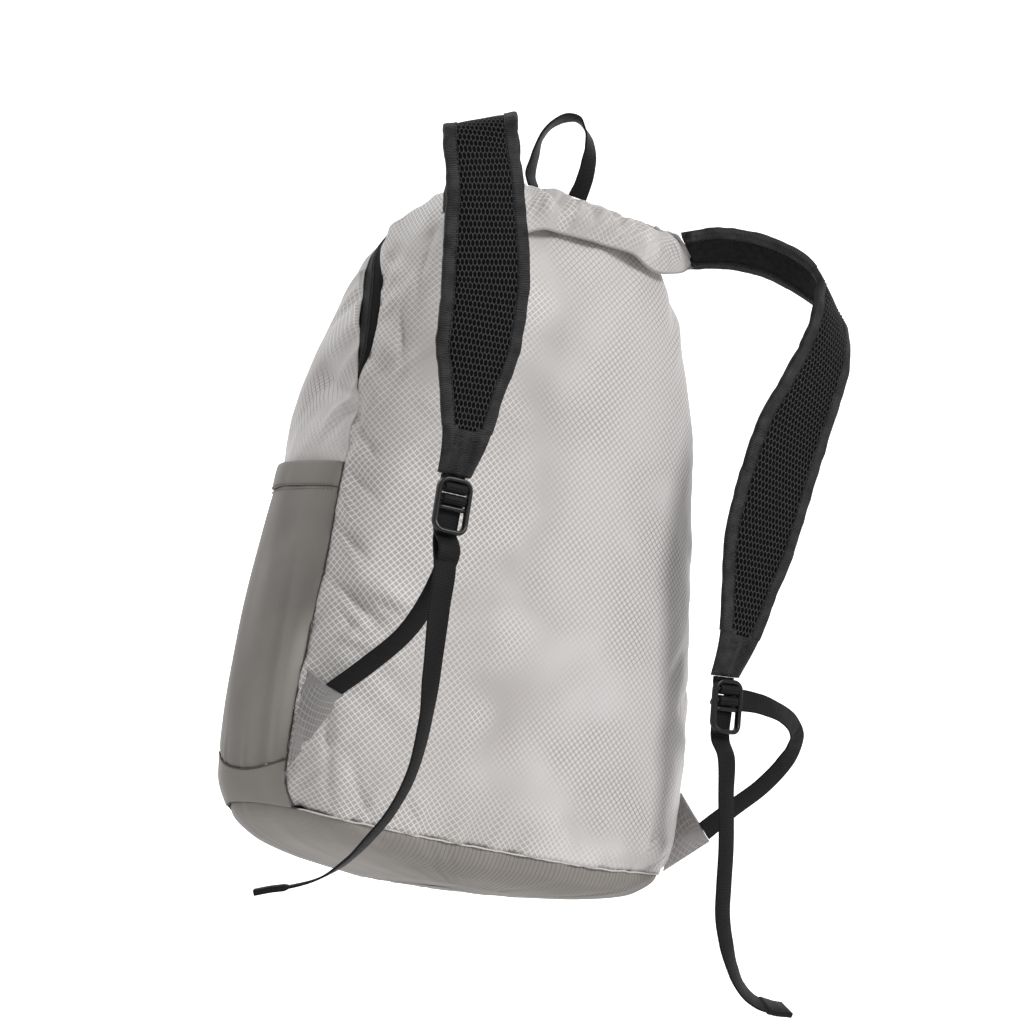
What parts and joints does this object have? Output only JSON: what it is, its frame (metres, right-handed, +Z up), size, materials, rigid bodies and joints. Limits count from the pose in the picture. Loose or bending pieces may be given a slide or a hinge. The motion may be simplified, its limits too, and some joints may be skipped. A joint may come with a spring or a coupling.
{
  "type": "packable backpack",
  "caption": "Light packable backpack in pale ripstop with stretch side pockets, black mesh shoulder straps, ladder locks and a hang loop.",
  "frame": {"origin": "underside of the hang loop at its crest, where the bag hangs", "axes": "+Z up, the shoulder straps and the wearer's back at -Y, +X to the right as seen from the strap side"},
  "size_m": [0.394, 0.2406, 0.5382],
  "materials": {
    "ripstop": "thin ripstop with a diamond grid",
    "pocket_cloth": "smooth stretch cloth",
    "base_cloth": "fine ribbed cloth",
    "strap_mesh": "open spacer mesh",
    "binding": "woven binding tape",
    "webbing": "flat woven webbing",
    "zip_tape": "smooth coil zip",
    "black_plastic": "satin moulded"
  },
  "bodies": {
    "root": {"back_panel": "ripstop", "front_panel": "ripstop", "base_panel": "base_cloth", "lower_side_left": "base_cloth", "side_pocket_left": "pocket_cloth", "pocket_hem_left": "pocket_cloth", "lower_side_right": "base_cloth", "side_pocket_right": "pocket_cloth", "pocket_hem_right": "pocket_cloth", "zipper_tape": "zip_tape", "zipper_slider": "black_plastic", "yoke": "ripstop", "hang_loop": "webbing", "strap_pad_left": "strap_mesh", "strap_binding_left": "binding", "ladder_lock_left": "black_plastic", "strap_tab_left": "webbing", "adjuster_webbing_left": "webbing", "corner_tab_left": "ripstop", "strap_pad_right": "strap_mesh", "strap_binding_right": "binding", "ladder_lock_right": "black_plastic", "strap_tab_right": "webbing", "adjuster_webbing_right": "webbing", "corner_tab_right": "ripstop"}
  },
  "joints": []
}
